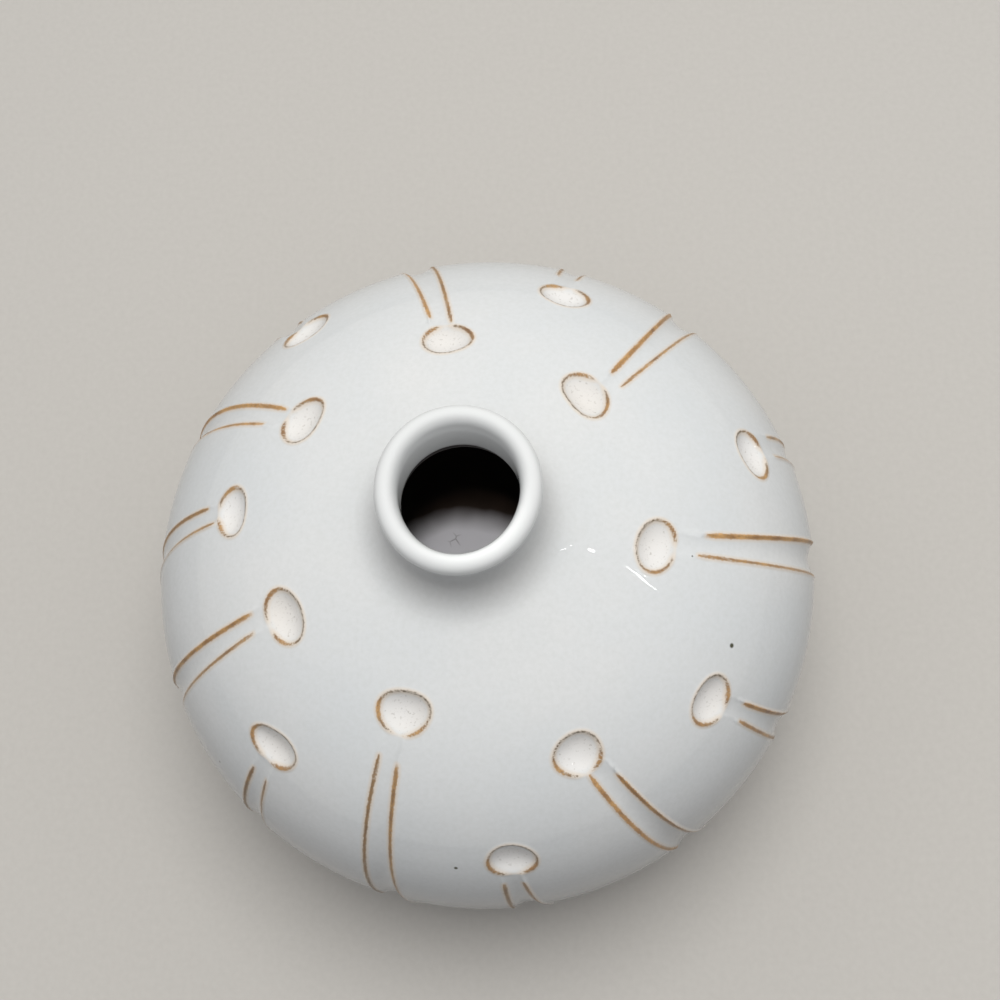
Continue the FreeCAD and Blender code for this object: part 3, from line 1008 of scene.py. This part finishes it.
# The glaze runs this far down into the flare under the throat.
glaze_into_flare = 0.6


def below_the_throat(out, up):
    """True on the flare that opens under the straight throat, and on the spigot."""
    inner_side = np.hypot(out - sweep_out, up - sweep_up) > sweep + neck_wall / 2
    return (up < sweep_up - glaze_into_flare) & inner_side


# The flare and the spigot take the inside's near-black tone, painted shade.
finish_inside(neck_collar, below_the_throat)
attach(neck_collar, "root")
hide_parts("neck_collar")


# The foot ring: thrown or coiled, luted under the floor and turned true. Its resting edge is
# wiped bare of glaze, so it shows the toasted buff clay.
foot_radius = 33.0
foot_width = 4.5
foot_rounding = 0.8
foot_flare_radius = 4.0

# The flare ends this step below the seat.
foot_step = 0.4
foot_joint_level = foot_seat - foot_step
flare_angle = math.degrees(math.acos(1 - (foot_joint_radius - foot_radius) / foot_flare_radius))
flare_level = foot_joint_level - foot_flare_radius * math.sin(math.radians(flare_angle))
foot_bottom_inside = foot_radius - foot_width
foot_profile = arc_points(foot_radius - foot_rounding, foot_rounding, foot_rounding, -90, 0, 15)
foot_profile += arc_points(
    foot_radius + foot_flare_radius, flare_level, foot_flare_radius, 180, 180 - flare_angle, 8
)
foot_profile[-1][3] = True
foot_profile += [
    [foot_joint_radius, foot_seat, None, True],
    [foot_inside, foot_seat, None, True],
    [foot_inside, underside(foot_inside), None, False],
]
foot_profile += arc_points(foot_bottom_inside + foot_rounding, foot_rounding, foot_rounding, 180, 270, 15)
foot_ring = turned_skin("foot", foot_profile)

# Bare stoneware, sponged and fired to a toasted buff. It gives the eye a dry, gritty ring with
# iron freckles, under a ragged line where the pale glaze stops.
toasted_stoneware, tree = empty_material("toasted_stoneware")
where = add(tree, "ShaderNodeNewGeometry").outputs["Position"]
toast_size = 7.0
toast = add(tree, "ShaderNodeTexNoise", {"Vector": where, "Scale": 1 / (toast_size * MM), "Detail": 5.0})
clay_tone = add(
    tree, "ShaderNodeMix",
    {0: toast.outputs["Fac"], 6: linear("A9825C"), 7: linear("C9A67C")}, data_type="RGBA",
)
grit_size = 0.8
grit = add(tree, "ShaderNodeTexNoise", {"Vector": where, "Scale": 1 / (grit_size * MM), "Detail": 3.0})
freckle = add(tree, "ShaderNodeMapRange", {0: grit.outputs["Fac"], 1: 0.62, 2: 0.72, 3: 0.0, 4: 0.7})
freckled = add(
    tree, "ShaderNodeMix",
    {0: freckle.outputs[0], 6: clay_tone.outputs[2], 7: linear("5E4330")}, data_type="RGBA",
)

# The clay is bare up to the first height in mm and glazed from the second, both of them lower by
# up to the wander, so that the glaze's edge is ragged.
bare_to = 4.6
glazed_from = 4.9
edge_wander = 3.0
up_now = add(tree, "ShaderNodeSeparateXYZ", {0: where}).outputs["Z"]
glaze_line = add(
    tree, "ShaderNodeMath", {0: toast.outputs["Fac"], 1: edge_wander * MM, 2: up_now},
    operation="MULTIPLY_ADD",
)
glazed = add(
    tree, "ShaderNodeMapRange",
    {0: glaze_line.outputs[0], 1: bare_to * MM, 2: glazed_from * MM, 3: 0.0, 4: 1.0},
)
foot_tone = add(
    tree, "ShaderNodeMix",
    {0: glazed.outputs[0], 6: freckled.outputs[2], 7: linear("D3D6D3")}, data_type="RGBA",
)
foot_rough = add(tree, "ShaderNodeMapRange", {0: glazed.outputs[0], 1: 0.0, 2: 1.0, 3: 0.85, 4: 0.15})
foot_bump = add(
    tree, "ShaderNodeBump", {"Height": grit.outputs["Fac"], "Strength": 0.4, "Distance": 0.2 * MM},
)
foot_shader = add(
    tree, "ShaderNodeBsdfPrincipled",
    {
        "Base Color": foot_tone.outputs[2], "Roughness": foot_rough.outputs[0],
        "Normal": foot_bump.outputs[0],
    },
)
add(tree, "ShaderNodeOutputMaterial", {"Surface": foot_shader.outputs[0]})
foot_ring.data.materials.append(toasted_stoneware)
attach(foot_ring, "root")
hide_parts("foot_ring")


# The studio floor: a plain pale matt sheet under the vase. The light that it throws back up is
# held down, as it would otherwise brighten the vase's lower edge too much.
floor_half = 2.5
sheet = bpy.data.meshes.new("studio_floor")
corners = [(-1, -1), (1, -1), (1, 1), (-1, 1)]
sheet_corners = [(x * floor_half, y * floor_half, cad_box[0].z) for x, y in corners]
sheet.from_pydata(sheet_corners, [], [(0, 1, 2, 3)])
studio_floor = bpy.data.objects.new("studio_floor", sheet)
bpy.context.scene.collection.objects.link(studio_floor)
floor_paper, tree = empty_material("matt_paper")
where = add(tree, "ShaderNodeNewGeometry").outputs["Position"]
tooth_size = 1.5
tooth = add(tree, "ShaderNodeTexNoise", {"Vector": where, "Scale": 1 / (tooth_size * MM), "Detail": 3.0})
paper_tone = add(
    tree, "ShaderNodeMix",
    {0: tooth.outputs["Fac"], 6: linear("BDB9B2"), 7: linear("C6C2BB")}, data_type="RGBA",
)


def seen_or_mirrored(tree):
    """1 where the camera sees this, straight or in a gloss, and 0 where it only gives light."""
    ray = add(tree, "ShaderNodeLightPath")
    seen = add(
        tree, "ShaderNodeMath", {0: ray.outputs["Is Camera Ray"], 1: ray.outputs["Is Transmission Ray"]},
        operation="MAXIMUM",
    )
    either = add(
        tree, "ShaderNodeMath", {0: seen.outputs[0], 1: ray.outputs["Is Glossy Ray"]},
        operation="MAXIMUM",
    )
    return either.outputs[0]


lit_tone = add(
    tree, "ShaderNodeMix",
    {0: seen_or_mirrored(tree), 6: linear("2A2928"), 7: paper_tone.outputs[2]}, data_type="RGBA",
)
paper_shader = add(tree, "ShaderNodeBsdfPrincipled", {"Base Color": lit_tone.outputs[2], "Roughness": 0.9})
add(tree, "ShaderNodeOutputMaterial", {"Surface": paper_shader.outputs[0]})
sheet.materials.append(floor_paper)


# The studio light: a pale room that is brighter behind the vase than in front, one soft overhead
# lamp, a snooted lamp that shines down the throat onto the poured floor, and two small ones that
# only give the glaze its highlights, a short glint and a thin strip.
room = bpy.data.worlds.new("pale_room")
room.use_nodes = True
bpy.context.scene.world = room
tree = room.node_tree
tree.nodes.clear()
look = add(tree, "ShaderNodeTexCoord").outputs["Generated"]
toward_bright = Vector((0.12, 0.75, 0.6)).normalized()
facing = add(tree, "ShaderNodeVectorMath", {0: look, 1: toward_bright}, operation="DOT_PRODUCT")
falloff = add(tree, "ShaderNodeMapRange", {0: facing.outputs["Value"], 1: -1.0, 2: 1.0, 3: 0.03, 4: 0.75})
look_up = add(tree, "ShaderNodeSeparateXYZ", {0: look}).outputs["Z"]
from_below = add(tree, "ShaderNodeMapRange", {0: look_up, 1: -0.02, 2: -0.2, 3: 0.0, 4: 0.6})
strength = add(
    tree, "ShaderNodeMath", {0: falloff.outputs[0], 1: from_below.outputs[0]}, operation="MAXIMUM",
)
room_tone = add(
    tree, "ShaderNodeMix",
    {0: falloff.outputs[0], 6: linear("E8ECFA"), 7: linear("FBFAF5")}, data_type="RGBA",
)
room_light = add(
    tree, "ShaderNodeBackground", {"Color": room_tone.outputs[2], "Strength": strength.outputs[0]},
)
room_seen = add(tree, "ShaderNodeBackground", {"Color": linear("CFCBC4"), "Strength": 1.0})
room_mix = add(
    tree, "ShaderNodeMixShader",
    {0: seen_or_mirrored(tree), 1: room_light.outputs[0], 2: room_seen.outputs[0]},
)
add(tree, "ShaderNodeOutputWorld", {"Surface": room_mix.outputs[0]})

# One row for each lamp: name, kind, its direction from the crown, its distance and its size across
# and high in metres, its power in watts, and whether the glaze mirrors it. An area lamp lies with
# its width along the long way. The spot's cone is the snoot's, with a soft edge.
crown_middle = Vector((0, 0, dome_high.z))
lamps = [
    ("overhead", "AREA", (0.09, 0.13, 0.985), 1.0, 0.7, 0.7, 7.6, False),
    ("throat", "SPOT", (9, -18, 120), 0.1214, 0.004, 0, 0.84, False),
    ("glint", "AREA", (0.29, 0.165, 0.943), 1.2, 0.032, 0.006, 0.03, True),
    ("strip", "AREA", (0.528, 0.038, 0.838), 1.2, 0.27, 0.005, 0.09, True),
]
long_way = Vector((0.756, -0.473, -0.453))
snoot_angle = math.radians(10.6)
snoot_softness = 0.7
for lamp_name, kind, toward, distance, across, high, power, mirrored in lamps:
    lamp = bpy.data.lights.new(lamp_name, kind)
    lamp.energy = power
    if kind == "AREA":
        lamp.shape = "ELLIPSE"
        lamp.size = across
        lamp.size_y = high
    else:
        lamp.shadow_soft_size = across
        lamp.spot_size = snoot_angle
        lamp.spot_blend = snoot_softness
    lamp_object = bpy.data.objects.new(lamp_name, lamp)
    bpy.context.scene.collection.objects.link(lamp_object)
    direction = Vector(toward).normalized()
    lamp_object.location = crown_middle + direction * distance
    along = (long_way - direction * long_way.dot(direction)).normalized()
    facing = Matrix((along, direction.cross(along), direction)).transposed()
    lamp_object.rotation_euler = facing.to_euler()
    lamp_object.visible_camera = False
    lamp_object.visible_glossy = mirrored

# The camera: held above the vase, a little in front of it and turned, as for the photograph. Its
# lens and film width are in mm.
camera_aim = Vector((6.53, 2.33, 90.0)) * MM
camera_distance = 260.33 * MM
camera_bearing = math.radians(13.545)
camera_tilt = math.radians(18.07)
camera_roll = math.radians(-14.22)
camera_lens = 50.4
film_width = 36.0
camera_data = bpy.data.cameras.new("camera")
camera_data.lens = camera_lens
camera_data.sensor_width = film_width
camera_data.clip_start = 0.01
camera = bpy.data.objects.new("camera", camera_data)
bpy.context.scene.collection.objects.link(camera)
turned = Matrix.Rotation(camera_bearing, 4, "Z") @ Matrix.Rotation(camera_tilt, 4, "X")
turned = turned @ Matrix.Rotation(camera_roll, 4, "Z")
back = turned @ Vector((0, 0, 1))
camera.matrix_world = Matrix.Translation(camera_aim + back * camera_distance) @ turned
bpy.context.scene.camera = camera
bpy.context.scene.view_settings.view_transform = "Standard"
